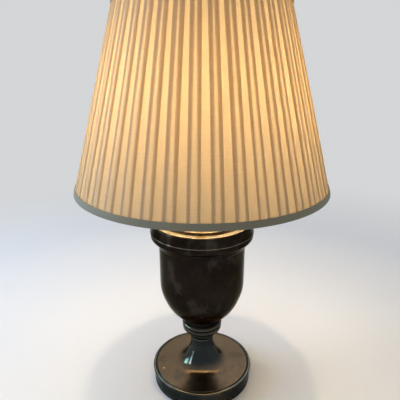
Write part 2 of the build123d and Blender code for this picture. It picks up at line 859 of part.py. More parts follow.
# Harp: one wire bowed round the bulb, with a pierced pad at the crown
leg_z = saddle_top_z + seat_gap
wire_top_z = harp_top_z - stud_seat_thickness - harp_wire_radius - seat_gap
harp_bends = [harp_leg_bend, harp_low_bend, harp_high_bend, harp_crown_bend]
flat_cut = 2 * harp_wire_radius + harp_flat_offset
with BuildPart() as harp_loop:
    with BuildLine(Plane.XZ):
        FilletPolyline(
            (leg_x, leg_z),
            (leg_x, leg_z + harp_leg_straight),
            (harp_bow / 2, leg_z + harp_bow_start),
            (harp_bow / 2, leg_z + harp_bow_end),
            (harp_crown_width / 2, wire_top_z),
            (-harp_crown_width / 2, wire_top_z),
            (-harp_bow / 2, leg_z + harp_bow_end),
            (-harp_bow / 2, leg_z + harp_bow_start),
            (-leg_x, leg_z + harp_leg_straight),
            (-leg_x, leg_z),
            radius=harp_bends + harp_bends[::-1],
        )
    with BuildSketch(Plane.XY.offset(leg_z)):
        with Locations((leg_x, 0)):
            Circle(harp_wire_radius)
    sweep()
    with BuildSketch(Plane.XY.offset(leg_z)):
        with Locations(*[(side * (leg_x + harp_flat_offset + flat_cut / 2), 0) for side in (-1, 1)]):
            Rectangle(flat_cut, flat_cut)
    extrude(amount=tongue_height + harp_flat_extra, mode=Mode.SUBTRACT)
    with BuildSketch(Plane.XY.offset(wire_top_z - harp_pad_thickness / 2)):
        Circle(harp_pad_radius)
    extrude(amount=harp_pad_thickness)
    with BuildSketch(Plane.XY.offset(wire_top_z + harp_pad_thickness / 2)):
        Circle(harp_pad_radius)
    extrude(amount=harp_wire_radius, mode=Mode.SUBTRACT)
    with BuildSketch(Plane.XY.offset(wire_top_z - harp_pad_thickness / 2)):
        Circle(harp_pad_radius)
    extrude(amount=-harp_wire_radius, mode=Mode.SUBTRACT)
    with BuildSketch(Plane.XY.offset(wire_top_z - harp_wire_radius * 2)):
        Circle(stud_shank_radius + slip_gap)
    extrude(amount=harp_wire_radius * 4, mode=Mode.SUBTRACT)
finish(harp_loop, "harp_loop")

# Harp stud: riveted through the pad, with a seat for the shade and a threaded top
pad_top_z = wire_top_z + harp_pad_thickness / 2
pad_bottom_z = wire_top_z - harp_pad_thickness / 2
rivet_x = stud_shank_radius + rivet_head_overhang
with BuildPart() as harp_stud:
    with BuildSketch(Plane.XZ):
        with BuildLine():
            outline(
                (0, pad_bottom_z - rivet_head_thickness, 0),
                (rivet_x, pad_bottom_z - rivet_head_thickness, fine_rounding),
                (rivet_x, pad_bottom_z, 0),
                (stud_shank_radius, pad_bottom_z, 0),
                (stud_shank_radius, pad_top_z, 0),
                (harp_pad_radius - slip_gap, pad_top_z, 0),
                (harp_pad_radius - slip_gap, harp_top_z - stud_seat_thickness, 0),
                (stud_seat_radius, harp_top_z - stud_seat_thickness, fine_rounding),
                (stud_seat_radius, harp_top_z, fine_rounding),
                (stud_radius, harp_top_z, 0),
                (stud_radius, harp_top_z + stud_height, fine_rounding),
                (0, harp_top_z + stud_height, 0),
            )
        make_face()
    revolve(axis=Axis.Z)
finish(harp_stud, "harp_stud")


def ferrule_at(side):
    """section of the sleeve that locks one harp leg to its tongue"""
    with BuildSketch(Plane.XY.offset(leg_z)) as section:
        with Locations((side * leg_x, 0)):
            Circle(ferrule_radius)
            Circle(ferrule_bore_radius, mode=Mode.SUBTRACT)
    return section.sketch


with BuildPart() as harp_ferrule_left:
    extrude(ferrule_at(-1), amount=ferrule_height)
    fillet(harp_ferrule_left.edges().group_by(Axis.Z)[-1], ferrule_rounding)
finish(harp_ferrule_left, "harp_ferrule_left")

with BuildPart() as harp_ferrule_right:
    extrude(ferrule_at(1), amount=ferrule_height)
    fillet(harp_ferrule_right.edges().group_by(Axis.Z)[-1], ferrule_rounding)
finish(harp_ferrule_right, "harp_ferrule_right")

# Radial build-up of the shade's wall, from the face of the pleats inwards
ply_step = cloth_thickness + cloth_ply_gap
stack = 2 * ply_step + cloth_thickness
slope = (shade_hem_radius - shade_top_radius) / shade_height
liner_inset = stack + liner_cover_gap


def face_radius(z):
    """radius of the pleats' outer face at a height"""
    return shade_hem_radius - (z - shade_hem_z) * slope


# The binding wraps both edges, so the cloth and liner stop short of it
edge_gap = trim_thickness + trim_gap
cover_low_z = shade_hem_z + edge_gap
cover_high_z = shade_top_z - edge_gap


def liner_radius(z):
    """outer radius of the liner at a height"""
    return face_radius(z) - liner_inset


# Spider fitter: hub, three arms and the top ring, welded into one piece
hub_z = harp_top_z + seat_gap
ring_top_z = cover_high_z - frame_wire_radius - edge_gap
ring_top_x = liner_radius(ring_top_z) - liner_thickness - frame_wire_gap - frame_wire_radius
arm_z = hub_z + spider_hub_thickness / 2
with BuildPart() as spider_fitter:
    with BuildSketch(Plane.XZ):
        with Locations((ring_top_x, ring_top_z)):
            Circle(frame_wire_radius)
    revolve(axis=Axis.Z)
    with BuildSketch(Plane.XY.offset(hub_z)):
        Circle(spider_hub_radius)
    extrude(amount=spider_hub_thickness)
    for arm in range(spider_arm_count):
        bearing = math.radians(90 + arm * 360 / spider_arm_count)
        outward = Vector(math.cos(bearing), math.sin(bearing), 0)
        with BuildLine() as arm_path:
            FilletPolyline(
                outward * spider_arm_root + Vector(0, 0, arm_z),
                outward * spider_flat_run + Vector(0, 0, arm_z),
                outward * ring_top_x + Vector(0, 0, ring_top_z),
                radius=spider_bend,
            )
        with BuildSketch(Plane(arm_path.line @ 0, z_dir=outward)):
            Circle(spider_arm_radius)
        sweep(path=arm_path.line)
    with BuildSketch(Plane.XY.offset(hub_z - spider_arm_radius)):
        Circle(stud_radius + running_clearance)
    extrude(amount=4 * spider_arm_radius, mode=Mode.SUBTRACT)
    with BuildSketch(Plane.XY.offset(hub_z)):
        Circle(spider_hub_radius)
    extrude(amount=-spider_arm_radius, mode=Mode.SUBTRACT)
    with BuildSketch(Plane.XY.offset(hub_z + spider_hub_thickness)):
        Circle(finial_base_radius + edge_rounding)
    extrude(amount=2 * spider_arm_radius, mode=Mode.SUBTRACT)
finish(spider_fitter, "spider_fitter")

# Bottom ring
ring_low_z = cover_low_z + frame_wire_radius + edge_gap
ring_low_x = liner_radius(ring_low_z) - liner_thickness - frame_wire_gap - frame_wire_radius
with BuildPart() as bottom_ring:
    with BuildSketch(Plane.XZ):
        with Locations((ring_low_x, ring_low_z)):
            Circle(frame_wire_radius)
    revolve(axis=Axis.Z)
finish(bottom_ring, "bottom_ring")

# Liner: a stiff translucent cone
with BuildPart() as shade_liner:
    with BuildSketch(Plane.XZ):
        with BuildLine():
            Polyline(
                (liner_radius(cover_low_z), cover_low_z),
                (liner_radius(cover_high_z), cover_high_z),
                (liner_radius(cover_high_z) - liner_thickness, cover_high_z),
                (liner_radius(cover_low_z) - liner_thickness, cover_low_z),
                close=True,
            )
        make_face()
    revolve(axis=Axis.Z)
finish(shade_liner, "shade_liner")


# Pleated cover: one long cloth, folded under itself at both sides of each box
def pleat_line(z, gap, parting):
    """the folded cloth's closed outline at a height: out along one side, back along the other"""
    base = face_radius(z) - stack
    pitch = 2 * math.pi / pleat_count
    half_gap = gap / base / 2
    half_parting = parting / base / 2
    turn = cloth_thickness / base
    edge = pitch / 2 - half_gap
    low = (base, base + cloth_thickness)
    middle = (base + ply_step, base + ply_step + cloth_thickness)
    high = (base + 2 * ply_step, base + 2 * ply_step + cloth_thickness)
    out_side, in_side = [], []
    for pleat in range(pleat_count):
        centre = math.pi / 2 + (pleat + 0.5) * pitch
        start = centre - pitch / 2 + (cover_seam / base / 2 if pleat == 0 else 0)
        stop = centre + pitch / 2 - (cover_seam / base / 2 if pleat == pleat_count - 1 else 0)
        half_out = [
            (start, low[1]),
            (centre - edge, low[1]),
            (centre - half_parting - turn, low[1]),
            (centre - half_parting - turn, middle[0]),
            (centre - edge, middle[0]),
            (centre - edge, high[1]),
            (centre - half_parting, high[1]),
        ]
        half_in = [
            (start, low[0]),
            (centre - edge, low[0]),
            (centre - half_parting, low[0]),
            (centre - half_parting, middle[1]),
            (centre - edge + turn, middle[1]),
            (centre - edge + turn, high[0]),
            (centre - half_parting, high[0]),
        ]
        for side, half in ((out_side, half_out), (in_side, half_in)):
            mirrored = [(2 * centre - a, r) for a, r in reversed(half)]
            if pleat == pleat_count - 1:
                mirrored[-1] = (stop, mirrored[-1][1])
            else:
                mirrored.pop()
            side.extend(half + mirrored)
    ring = out_side + in_side[::-1]
    return [(r * math.cos(a), r * math.sin(a)) for a, r in ring]


with BuildPart() as pleated_cover:
    for z, gap, parting in (
        (cover_low_z, pleat_gap_hem, pleat_split_hem),
        (cover_high_z, pleat_gap_top, pleat_split_top),
    ):
        with BuildSketch(Plane.XY.offset(z)):
            with BuildLine():
                Polyline(*pleat_line(z, gap, parting), close=True)
            make_face()
    loft(ruled=True)
finish(pleated_cover, "pleated_cover")


# Trims: a folded binding round each edge of the shade
def binding(edge_z, inward):
    """section of the binding; inward is +1 at the hem and -1 at the top"""

    def at(offset, rise):
        z = edge_z + inward * rise
        return (face_radius(z) + offset, z)

    outer = trim_gap + trim_thickness
    inner = -(liner_inset + liner_thickness + trim_gap + trim_thickness)
    with BuildSketch(Plane.XZ) as section:
        with BuildLine():
            Polyline(
                at(outer, 0),
                at(outer, trim_width),
                at(trim_gap, trim_width),
                at(trim_gap, trim_thickness),
                at(inner + trim_thickness, trim_thickness),
                at(inner + trim_thickness, trim_return),
                at(inner, trim_return),
                at(inner, 0),
                close=True,
            )
        make_face()
    return section.sketch


with BuildPart() as bottom_trim:
    revolve(binding(shade_hem_z, 1), axis=Axis.Z)
finish(bottom_trim, "bottom_trim")

with BuildPart() as top_trim:
    revolve(binding(shade_top_z, -1), axis=Axis.Z)
finish(top_trim, "top_trim")

# Finial: a turned knob that screws down on the stud and holds the shade
finial_z = hub_z + spider_hub_thickness + seat_gap
ball_z = finial_z + finial_height - finial_ball_radius - finial_tip_radius
cove_z = finial_z + finial_base_height
with BuildPart() as finial:
    with BuildSketch(Plane.XZ):
        with BuildLine():
            outline(
                (0, finial_z, 0),
                (finial_base_radius, finial_z, fine_rounding),
                (finial_base_radius, cove_z, edge_rounding),
                (finial_neck_radius, cove_z + finial_cove, edge_rounding),
                (finial_neck_radius, ball_z, 0),
                (0, ball_z, 0),
            )
        make_face()
        with Locations((0, ball_z)):
            Circle(finial_ball_radius)
        with Locations((0, ball_z + finial_ball_radius)):
            Circle(finial_tip_radius)
        split(bisect_by=Plane.YZ, keep=Keep.TOP)
    revolve(axis=Axis.Z)
    with BuildSketch(Plane.XY.offset(finial_z)):
        Circle(stud_radius + running_clearance)
    extrude(amount=finial_bore_depth, mode=Mode.SUBTRACT)
finish(finial, "finial")
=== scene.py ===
import json
import math
import random

import bpy
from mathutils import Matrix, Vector


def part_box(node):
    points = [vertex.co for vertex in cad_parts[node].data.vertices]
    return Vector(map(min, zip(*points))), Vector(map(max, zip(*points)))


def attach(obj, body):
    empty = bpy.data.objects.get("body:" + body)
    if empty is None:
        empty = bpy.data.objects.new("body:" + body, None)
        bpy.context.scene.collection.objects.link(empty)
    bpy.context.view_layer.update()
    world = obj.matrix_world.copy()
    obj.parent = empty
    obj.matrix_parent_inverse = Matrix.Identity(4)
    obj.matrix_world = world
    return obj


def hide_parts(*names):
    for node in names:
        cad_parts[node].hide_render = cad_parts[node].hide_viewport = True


# Urn table lamp. Metres, +Z up, origin on the table under the lamp's axis, front at -Y.
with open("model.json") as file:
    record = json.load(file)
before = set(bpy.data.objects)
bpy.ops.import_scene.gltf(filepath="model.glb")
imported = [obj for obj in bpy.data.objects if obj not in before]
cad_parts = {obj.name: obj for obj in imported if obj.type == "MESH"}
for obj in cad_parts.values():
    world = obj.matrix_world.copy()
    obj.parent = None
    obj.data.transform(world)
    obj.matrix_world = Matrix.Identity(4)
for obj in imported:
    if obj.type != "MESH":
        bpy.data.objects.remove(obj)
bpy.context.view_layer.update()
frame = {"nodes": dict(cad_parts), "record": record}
random.seed(11)


def low_z(node):
    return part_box(node)[0][2]


def high_z(node):
    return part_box(node)[1][2]


def radius_of(node):
    """half the width of a round node"""
    low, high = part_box(node)
    return (high[0] - low[0]) / 2


# Photograph's view
IMAGE_WIDTH = 400
FOCAL_PX = 425.1
SENSOR_MM = 36.0
CAMERA_PLACE = (0.0, -0.6645, 0.5606)
CAMERA_PITCH = math.radians(18.09)
AXIS_SHIFT_PX = 2.0

# Shade: bindings on its two edges and the cone of the pleats' faces between them
TRIM_WIDTH = 0.0094
TRIM_THICK = 0.0008
TRIM_GAP = 0.00015
SHADE_HEM_Z, SHADE_TOP_Z = low_z("bottom_trim"), high_z("top_trim")
COVER_LOW_Z, COVER_HIGH_Z = low_z("pleated_cover"), high_z("pleated_cover")
HEM_RADIUS = radius_of("bottom_trim") - TRIM_GAP - TRIM_THICK
TOP_RADIUS = 0.1257
SHADE_SLOPE = (HEM_RADIUS - TOP_RADIUS) / (SHADE_TOP_Z - SHADE_HEM_Z)

# Box pleats: gaps between the pleats, and splits between the folded edges behind each face
PLEATS = 42
PLEAT_TURN = 0.15  # of a pitch, from the lamp's back to the first gap
CLOTH = 0.00035
PLY_STEP = 0.00047
GAP_HEM, GAP_TOP = 0.0129, 0.0054
SPLIT_HEM, SPLIT_TOP = 0.0082, 0.0018
PLY_REACH = 0.0012  # cloth that lies flat before it folds
CROWN_INSET = 0.0016  # from a face's edge to where it starts to crown
PLEAT_ROWS = 36
PLEAT_JITTER = 0.0009
JITTER_LOST_AT_TOP = 0.8
LEAN_JITTER = 0.0010
PUFF_LEAST, PUFF_MOST = 0.0003, 0.0009
LINER_GAP, LINER_THICK = 0.0004, 0.0008

# Bulb
GLOBE_RADIUS = radius_of("bulb_glass")
GLOBE_Z = high_z("bulb_glass") - GLOBE_RADIUS

# Heights on the urn and the foot
RIM_TOP_Z = high_z("urn_rim")
CAP_LOW_Z = low_z("vase_cap")
COLLAR_TOP_Z = high_z("urn_collar")
RING_LOW_Z = low_z("neck_ring")
FOOT_LOW_Z = low_z("foot")
FOOT_EDGE_Z = FOOT_LOW_Z + 0.0290

# Trumpet: the stem's flare down to the disc, as two curves that meet at the bend
STEM_TOP_Z = RING_LOW_Z - 0.00002
STEM_TOP_RADIUS = 0.01895
STEM_TOP_SPREAD, STEM_TOP_DROP = 0.0010, 0.0100  # the curve's first handle
FLARE_BEND = (0.0232, 0.0610)
FLARE_LEAN = math.radians(27)
BEND_ABOVE, BEND_BELOW = 0.0050, 0.0170  # handles on both sides of the bend
FLARE_REACH = 0.0528
FLARE_Z = FOOT_LOW_Z + 0.03082
FLARE_HANDLE = 0.0170
DISC_FALL = 0.0573  # slope of the disc where the flare meets it
UNDERSIDE_REACH = 0.0300
FLARE_STEPS = 20
SKIN = 0.0014
TRUMPET_SEGMENTS = 256
TRUMPET_CREASE = math.radians(35)

# Light level and the pale room
PALE = (0.66, 0.67, 0.68)
SKY = (0.94, 0.97, 1.0)
SKY_LEVEL = 0.38
FLOOR_TONES = (0.79, 0.78, 0.77), (0.81, 0.80, 0.79)
FLOOR_RINGS = (0.5, 1.0, 2.0, 4.0, 9.0)
FLOOR_SIDES = 64
FADE_FROM, FADE_TO = 0.5, 1.5
LAMPS_AIM_Z = 0.25
BULB_WATTS = 4.75
BULB_GLOW = (1.0, 0.80, 0.50)
FILAMENT_DROP = 0.015
FILAMENT_SHARE = 0.45


# Node helpers
class Nodes:
    """a node tree of a material or the world, with short calls for the nodes used here"""

    def __init__(self, owner, output="ShaderNodeOutputMaterial"):
        owner.use_nodes = True
        self.owner = owner
        self.tree = owner.node_tree
        self.tree.nodes.clear()
        self.output = self.add(output)

    def add(self, kind, **settings):
        node = self.tree.nodes.new(kind)
        for key, value in settings.items():
            setattr(node, key, value)
        return node

    def link(self, source, target):
        self.tree.links.new(source, target)

    def put(self, socket, value):
        """links a socket or sets a plain value"""
        if isinstance(value, bpy.types.NodeSocket):
            self.link(value, socket)
        elif socket.type == "RGBA" and len(value) == 3:
            socket.default_value = (*value, 1.0)
        else:
            socket.default_value = value

    def math(self, operation, *values):
        node = self.add("ShaderNodeMath", operation=operation)
        for socket, value in zip(node.inputs, values):
            self.put(socket, value)
        return node.outputs[0]

    def place(self):
        """the object coordinates, in metres"""
        return self.add("ShaderNodeTexCoord").outputs["Object"]

    def axes(self):
        split = self.add("ShaderNodeSeparateXYZ")
        self.link(self.place(), split.inputs[0])
        return split.outputs

    def turn(self, axis):
        """the angle round the lamp's axis"""
        return self.math("ARCTAN2", axis["Y"], axis["X"])

    def reach(self, axis):
        """the distance from the lamp's axis"""
        squares = [self.math("MULTIPLY", axis[name], axis[name]) for name in ("X", "Y")]
        return self.math("SQRT", self.math("ADD", *squares))

    def away(self, axis, point):
        """the distance from a point"""
        gaps = [self.math("SUBTRACT", value, at) for value, at in zip(axis, point)]
        squares = [self.math("POWER", gap, 2.0) for gap in gaps]
        return self.math("SQRT", self.math("ADD", self.math("ADD", *squares[:2]), squares[2]))

    def scaled(self, x, y, z):
        """the place stretched along each axis"""
        node = self.add("ShaderNodeMapping")
        self.link(self.place(), node.inputs["Vector"])
        node.inputs["Scale"].default_value = (x, y, z)
        return node.outputs[0]

    def joined(self, x, y, z):
        node = self.add("ShaderNodeCombineXYZ")
        for socket, value in zip(node.inputs, (x, y, z)):
            self.put(socket, value)
        return node.outputs[0]

    def noise(self, vector, scale, detail=2.0, rough=0.5):
        node = self.add("ShaderNodeTexNoise")
        self.link(vector, node.inputs["Vector"])
        node.inputs["Scale"].default_value = scale
        node.inputs["Detail"].default_value = detail
        node.inputs["Roughness"].default_value = rough
        return node.outputs["Fac"]

    def spread(self, value, low, high, to_low=0.0, to_high=1.0, smooth=False):
        """a value's range from low to high, mapped on to another range and held at its ends"""
        node = self.add("ShaderNodeMapRange")
        node.interpolation_type = "SMOOTHSTEP" if smooth else "LINEAR"
        self.put(node.inputs["Value"], value)
        for key, number in zip(("From Min", "From Max", "To Min", "To Max"), (low, high, to_low, to_high)):
            node.inputs[key].default_value = number
        return node.outputs[0]

    def band(self, value, centre, half):
        """1 at the centre of a band, falling to 0 at its edges"""
        return self.spread(self.off(value, centre), 0.0, half, 1.0, 0.0, smooth=True)

    def off(self, value, centre):
        """how far a value is from a centre"""
        return self.math("ABSOLUTE", self.math("SUBTRACT", value, centre))

    def mix(self, share, first, second):
        node = self.add("ShaderNodeMix", data_type="RGBA")
        self.put(node.inputs["Factor"], share)
        self.put(node.inputs[6], first)
        self.put(node.inputs[7], second)
        return node.outputs[2]

    def both(self, share, first, second):
        """two shaders mixed"""
        node = self.add("ShaderNodeMixShader")
        self.put(node.inputs[0], share)
        self.link(first, node.inputs[1])
        self.link(second, node.inputs[2])
        return node.outputs[0]

    def bump(self, height, strength, distance):
        node = self.add("ShaderNodeBump")
        node.inputs["Strength"].default_value = strength
        node.inputs["Distance"].default_value = distance
        self.link(height, node.inputs["Height"])
        return node.outputs[0]

    def principled(self, **inputs):
        node = self.add("ShaderNodeBsdfPrincipled")
        for key, value in inputs.items():
            self.put(node.inputs[key.replace("_", " ")], value)
        return node.outputs[0]

    def translucent(self, color, relief=None):
        node = self.add("ShaderNodeBsdfTranslucent")
        self.put(node.inputs["Color"], color)
        if relief:
            self.link(relief, node.inputs["Normal"])
        return node.outputs[0]

    def shadow_share(self, shader, tint):
        """lets the bulb's light on through the cloth or the glass, tinted"""
        clear = self.add("ShaderNodeBsdfTransparent")
        clear.inputs["Color"].default_value = (*tint, 1.0)
        path = self.add("ShaderNodeLightPath")
        return self.both(path.outputs["Is Shadow Ray"], shader, clear.outputs[0])

    def seen_plainly(self):
        """1 for rays from the camera, a mirror or glass, 0 for the light on the object"""
        path = self.add("ShaderNodeLightPath")
        share = self.math("MAXIMUM", path.outputs["Is Camera Ray"], path.outputs["Is Glossy Ray"])
        return self.math("MAXIMUM", share, path.outputs["Is Transmission Ray"])

    def glow_of_room(self, node):
        """gives a background or an emission the pale room's colour where seen, and the sky's light"""
        seen = self.seen_plainly()
        self.link(self.mix(seen, SKY, PALE), node.inputs["Color"])
        self.link(self.spread(seen, 0.0, 1.0, SKY_LEVEL, 1.0), node.inputs["Strength"])

    def surface(self, shader):
        """ends the tree with a shader and gives back what it belongs to"""
        self.link(shader, self.output.inputs["Surface"])
        return self.owner


def material_nodes(name):
    return Nodes(bpy.data.materials.new(name))


# Cloth, liner and bindings: two tones each, what light they let through, and threads per radian or metre
CLOTH_TONES = (0.78, 0.70, 0.51), (0.84, 0.76, 0.57)
CLOTH_FADED = (0.76, 0.71, 0.60)
CLOTH_GLOWS = (0.440, 0.355, 0.248), (0.480, 0.385, 0.272)
CLOTH_LETS_ON = (0.715, 0.585, 0.16)
CLOTH_TRANSLUCENCE = 0.65
WARP_TURN, WARP_RISE = 330.0, 18.0
WEFT_TURN, WEFT_RISE = 4.0, 340.0
LINER_TONES = (0.76, 0.72, 0.64), (0.84, 0.80, 0.72)
LINER_LETS_ON = (0.48, 0.46, 0.42)
LINER_TRANSLUCENCE = 0.4
TRIM_TONES = (0.185, 0.172, 0.112), (0.275, 0.252, 0.172)
TRIM_AGED = (0.20, 0.18, 0.14)
BIAS_TURN, BIAS_RISE = 260.0, 1300.0


def cloth_material():
    nodes = material_nodes("shade_cloth")
    axis = nodes.axes()
    angle = nodes.turn(axis)
    weft_place = nodes.joined(
        nodes.math("MULTIPLY", angle, WEFT_TURN), nodes.math("MULTIPLY", axis["Z"], WEFT_RISE), 0.0,
    )
    warp_place = nodes.joined(
        nodes.math("MULTIPLY", angle, WARP_TURN), nodes.math("MULTIPLY", axis["Z"], WARP_RISE), 3.0,
    )
    weft = nodes.noise(weft_place, 1.6, 3.0, 0.6)
    warp = nodes.noise(warp_place, 1.0)
    cloud = nodes.noise(nodes.place(), 14.0)
    weave = nodes.math("ADD", nodes.math("MULTIPLY", weft, 0.7), nodes.math("MULTIPLY", warp, 0.3))
    lit = nodes.mix(nodes.spread(weave, 0.35, 0.65), *CLOTH_TONES)
    faded = nodes.mix(nodes.spread(cloud, 0.3, 0.7, 0.0, 0.25), lit, CLOTH_FADED)
    glow = nodes.mix(nodes.spread(weave, 0.35, 0.65), *CLOTH_GLOWS)
    relief = nodes.bump(weave, 0.3, 0.0003)
    front = nodes.principled(Base_Color=faded, Roughness=0.9, Sheen_Weight=0.05, Normal=relief)
    cloth = nodes.both(CLOTH_TRANSLUCENCE, front, nodes.translucent(glow, relief))
    return nodes.surface(nodes.shadow_share(cloth, CLOTH_LETS_ON))


def liner_material():
    nodes = material_nodes("shade_liner")
    grain = nodes.noise(nodes.place(), 700.0, 2.0, 0.6)
    tone = nodes.mix(grain, *LINER_TONES)
    rough = nodes.spread(grain, 0.3, 0.7, 0.45, 0.6)
    front = nodes.principled(Base_Color=tone, Roughness=rough, Normal=nodes.bump(grain, 0.15, 0.0002))
    sheet = nodes.both(LINER_TRANSLUCENCE, front, nodes.translucent(tone))
    return nodes.surface(nodes.shadow_share(sheet, LINER_LETS_ON))


def trim_material():
    """ribbed cloth cut on the bias, so that its ribs run both ways"""
    nodes = material_nodes("trim_cloth")
    axis = nodes.axes()
    across = nodes.math("MULTIPLY", nodes.turn(axis), BIAS_TURN)
    up = nodes.math("MULTIPLY", axis["Z"], BIAS_RISE)
    bias = nodes.joined(nodes.math("ADD", across, up), nodes.math("SUBTRACT", across, up), 0.0)
    ribs = nodes.noise(bias, 0.9, 2.0, 0.6)
    cloud = nodes.noise(nodes.place(), 30.0, 3.0)
    tone = nodes.mix(nodes.spread(ribs, 0.35, 0.65), *TRIM_TONES)
    aged = nodes.mix(nodes.spread(cloud, 0.35, 0.7, 0.0, 0.4), tone, TRIM_AGED)
    relief = nodes.bump(ribs, 0.6, 0.0004)
    return nodes.surface(nodes.principled(Base_Color=aged, Roughness=0.85, Sheen_Weight=0.2, Normal=relief))


# Patina: two tones for each zone of the urn, and what lies over them
BOWL_TONES = (0.010, 0.0070, 0.0052), (0.022, 0.0165, 0.0125)
LOW_BOWL_TONES = (0.030, 0.021, 0.014), (0.060, 0.042, 0.027)
STEM_TONES = (0.022, 0.027, 0.027), (0.036, 0.042, 0.040)
# the disc's lighter warm tone is a painted reflection of a warm lit wall
DISC_TONES_AND_REFLECTION = (0.190, 0.130, 0.078), (0.235, 0.168, 0.104)
SMUDGE_TONE = (0.080, 0.068, 0.055)
FLECK_TONE = (0.16, 0.12, 0.08)
# bright brass painted on the edges: partly wear, partly painted highlight
WEAR_AND_HIGHLIGHT_TONE = (0.80, 0.70, 0.54)
DENT_AND_GLINT_TONE = (0.62, 0.52, 0.40)
GRIME_TONE = (0.060, 0.048, 0.034)
PATINA_EDGE_TINT = (0.56, 0.55, 0.52)

# Zones: where the stem's flare turns to disc, the groove at the disc's edge, and the bowl, lighter towards
# the bottom
DISC_FROM, DISC_TO = 0.030, 0.048
GROOVE_FROM, GROOVE_TO = 0.0828, 0.0836
LOW_BOWL_FROM, LOW_BOWL_TO = COLLAR_TOP_Z + 0.060, COLLAR_TOP_Z + 0.005
CREVICE_Z, CREVICE_HALF = COLLAR_TOP_Z - 0.0005, 0.0080
CREVICE_FROM, CREVICE_TO = 0.036, 0.033

# Edges painted bright brass: partly rubbed wear, mostly painted highlights where the lip, rim band, collar,
# neck ring and foot edge catch the light
EDGE_BAND_FADE = 0.001
WEAR_AND_HIGHLIGHT_EDGES = (
    # height, half width, least and most distance from the axis, strength
    (RIM_TOP_Z - 0.0014, 0.0036, 0.0708, 0.0816, 1.0),
    (RIM_TOP_Z - 0.0170, 0.0008, 0.0860, 0.0900, 0.45),
    (COLLAR_TOP_Z - 0.0105, 0.0008, 0.0330, 0.0400, 0.3),
    (RING_LOW_Z + 0.0016, 0.0007, 0.0180, 0.0300, 0.45),
    (FOOT_EDGE_Z, 0.0008, 0.0862, 0.0920, 0.35),
)

# Small dents, one on the disc and two low on the bowl, each painted lighter: a pale mark on the disc, painted
# glints on the bowl
DENTS_WITH_GLINTS = ((-0.0690, -0.0256, 0.0308), (0.0343, -0.0565, 0.1900), (-0.0008, -0.0652, 0.1615))
DENT_RADIUS = 0.0032
DENT_DEPTH = 2.5
DENT_GLINT_SHARE = 0.55


def patina_zones(nodes, axis, reach, cloud):
    """the tone of the dark bowl, greyer stem and warm disc, whose lighter tone is a painted reflection of a
    warm lit wall, and how much of it is disc
    """
    shade = nodes.spread(cloud, 0.35, 0.65)
    bowl = nodes.mix(shade, *BOWL_TONES)
    stem = nodes.mix(shade, *STEM_TONES)
    disc = nodes.mix(shade, *DISC_TONES_AND_REFLECTION)
    low_bowl = nodes.mix(shade, *LOW_BOWL_TONES)
    on_bowl = nodes.spread(axis["Z"], COLLAR_TOP_Z - 0.001, COLLAR_TOP_Z + 0.001)
    above_side = nodes.spread(axis["Z"], FOOT_EDGE_Z - 0.0010, FOOT_EDGE_Z - 0.0003)
    past_flare = nodes.spread(reach, DISC_FROM, DISC_TO, smooth=True)
    short_of_groove = nodes.spread(reach, GROOVE_FROM, GROOVE_TO, 1.0, 0.0)
    on_disc = nodes.math("MULTIPLY", nodes.math("MULTIPLY", above_side, past_flare), short_of_groove)
    down_bowl = nodes.spread(axis["Z"], LOW_BOWL_FROM, LOW_BOWL_TO, smooth=True)
    return nodes.mix(on_bowl, nodes.mix(on_disc, stem, disc), nodes.mix(down_bowl, bowl, low_bowl)), on_disc


def wear_and_highlight_edges(nodes, axis, reach):
    """how bright the edges are painted, partly rubbed wear and partly painted highlight, from all the bright
    edges
    """
    bright_edge = None
    for height, half, least, most, strength in WEAR_AND_HIGHLIGHT_EDGES:
        middle, width = (least + most) / 2, (most - least) / 2
        inside = nodes.spread(nodes.off(reach, middle), width, width - EDGE_BAND_FADE)
        edge = nodes.math("MULTIPLY", nodes.band(axis["Z"], height, half), inside)
        edge = nodes.math("MULTIPLY", edge, strength)
        bright_edge = nodes.math("MAXIMUM", bright_edge, edge) if bright_edge else edge
    return bright_edge


